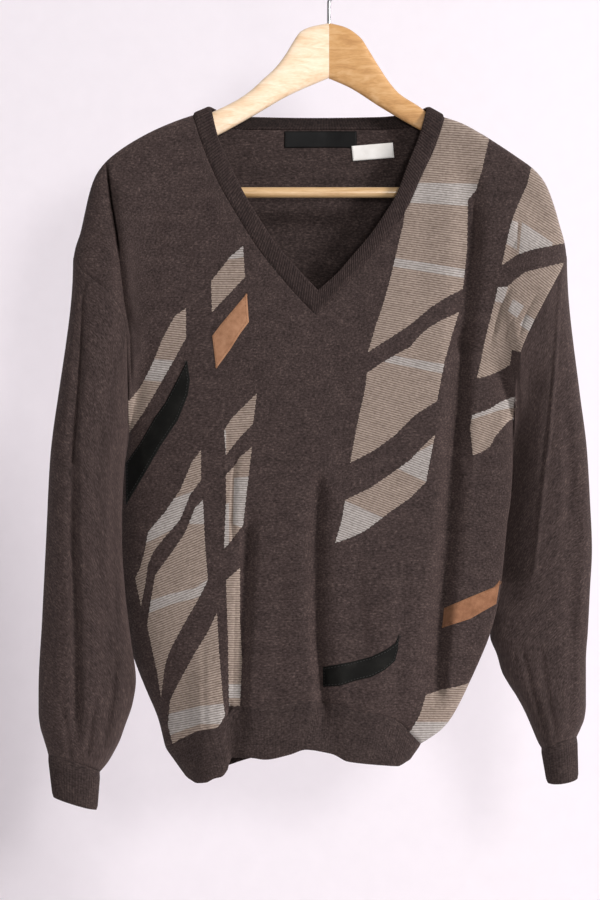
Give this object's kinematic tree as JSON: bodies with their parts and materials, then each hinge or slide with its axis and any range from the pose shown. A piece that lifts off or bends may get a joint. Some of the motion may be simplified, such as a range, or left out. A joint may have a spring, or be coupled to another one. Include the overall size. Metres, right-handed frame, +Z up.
{
  "type": "v-neck sweater on a wooden hanger",
  "caption": "Fine-knit V-neck sweater with drop shoulders, ribbed bands, striped panels and leather and suede patches, hung on a contoured wooden hanger with a trouser bar.",
  "frame": {"origin": "inner top of the hook, where the rail carries the hanger", "axes": "+Z up along the hook's stem, +X towards the wearer's left sleeve, -Y towards the front of the garment"},
  "size_m": [0.5447, 0.1205, 0.8556],
  "materials": {
    "knit_front": "fine heathered wool jersey, with panels of thin beige and brown stripes",
    "knit_plain": "fine heathered wool jersey",
    "knit_rib": "ribbed wool knit",
    "suede_tan": "tan suede with a short nap",
    "leather_black": "black nappa leather, semi matt",
    "label_black": "woven satin label, blank",
    "label_white": "white woven tape, blank",
    "beech": "clear lacquered beech",
    "steel_wire": "bright plated steel wire"
  },
  "bodies": {
    "root": {"front_panel": "knit_front", "back_panel": "knit_plain", "sleeve_left": "knit_plain", "sleeve_right": "knit_plain", "cuff_left": "knit_rib", "cuff_right": "knit_rib", "hem_front": "knit_rib", "hem_back": "knit_rib", "neckband": "knit_rib", "suede_patch_upper": "suede_tan", "suede_patch_lower": "suede_tan", "leather_patch_left": "leather_black", "leather_patch_right": "leather_black", "neck_label": "label_black", "name_label": "label_white", "hanger_arm_left": "beech", "hanger_arm_right": "beech", "hanger_bar": "beech", "hanger_hook": "steel_wire"}
  },
  "joints": []
}
